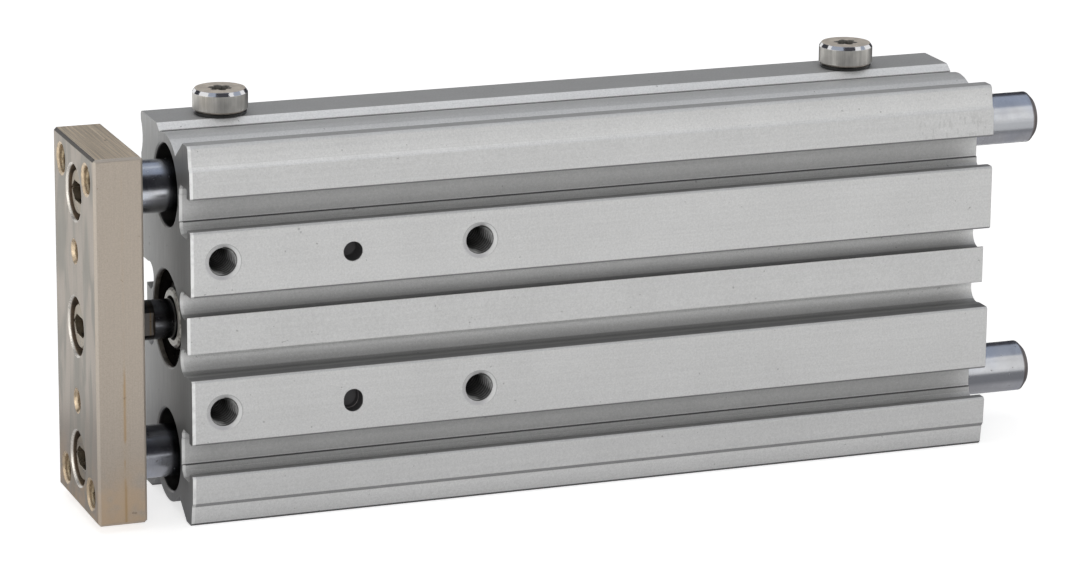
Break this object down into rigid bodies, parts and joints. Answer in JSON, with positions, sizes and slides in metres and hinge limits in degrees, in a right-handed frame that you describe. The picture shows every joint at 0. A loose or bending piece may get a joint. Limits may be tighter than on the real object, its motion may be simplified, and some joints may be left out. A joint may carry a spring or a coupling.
{
  "type": "guided pneumatic cylinder",
  "caption": "Compact pneumatic cylinder in a slotted flat housing, whose piston rod and guide rods carry one mounting plate.",
  "frame": {"origin": "centre of the plate's outer face, between its four tapped holes", "axes": "+X along the rods from the plate to the rear end, -Y out of the face with T-slots and tapped holes, +Z out of the side with the plugged ports; at rest the rods are fully in"},
  "size_m": [0.1558, 0.026, 0.0619],
  "materials": {
    "anodised_housing": "satin clear anodised extrusion",
    "anodised_cap": "turned, pale anodised",
    "nickel_plate": "nickel plated steel, milled",
    "hard_chrome": "hard chrome, ground and polished",
    "screw_steel": "zinc plated",
    "nickel_plug": "nickel plated, turned",
    "black_spring_steel": "blackened and oiled",
    "bearing_bronze": "oil-filled sintered bronze",
    "piston_aluminium": "turned",
    "black_rubber": "nitrile rubber, matt",
    "bumper_rubber": "cast polyurethane",
    "oiled_felt": "oil-soaked wool felt",
    "bonded_magnet": "bonded ferrite"
  },
  "bodies": {
    "cylinder_housing": {"housing": "anodised_housing", "rod_collar": "anodised_cap", "rod_seal": "black_rubber", "collar_gasket": "black_rubber", "front_retaining_ring": "black_spring_steel", "rear_cover": "anodised_cap", "rear_cover_gasket": "black_rubber", "rear_retaining_ring": "black_spring_steel", "front_port_plug": "nickel_plug", "front_plug_ring": "black_rubber", "rear_port_plug": "nickel_plug", "rear_plug_ring": "black_rubber", "upper_felt_ring": "oiled_felt", "upper_felt_holder": "black_spring_steel", "upper_front_bush": "bearing_bronze", "upper_rear_bush": "bearing_bronze", "lower_felt_ring": "oiled_felt", "lower_felt_holder": "black_spring_steel", "lower_front_bush": "bearing_bronze", "lower_rear_bush": "bearing_bronze"},
    "moving_plate": {"mounting_plate": "nickel_plate", "upper_guide_rod": "hard_chrome", "upper_guide_rod_screw": "screw_steel", "lower_guide_rod": "hard_chrome", "lower_guide_rod_screw": "screw_steel", "piston_rod": "hard_chrome", "piston_rod_screw": "screw_steel", "piston": "piston_aluminium", "piston_seal": "black_rubber", "magnet_ring": "bonded_magnet", "front_bumper": "bumper_rubber", "rear_bumper": "bumper_rubber"}
  },
  "joints": [
    {"name": "plate_extension", "type": "slide", "parent": "cylinder_housing", "child": "moving_plate", "axis": [-1, 0, 0], "range_m": [0, 0.1]}
  ]
}
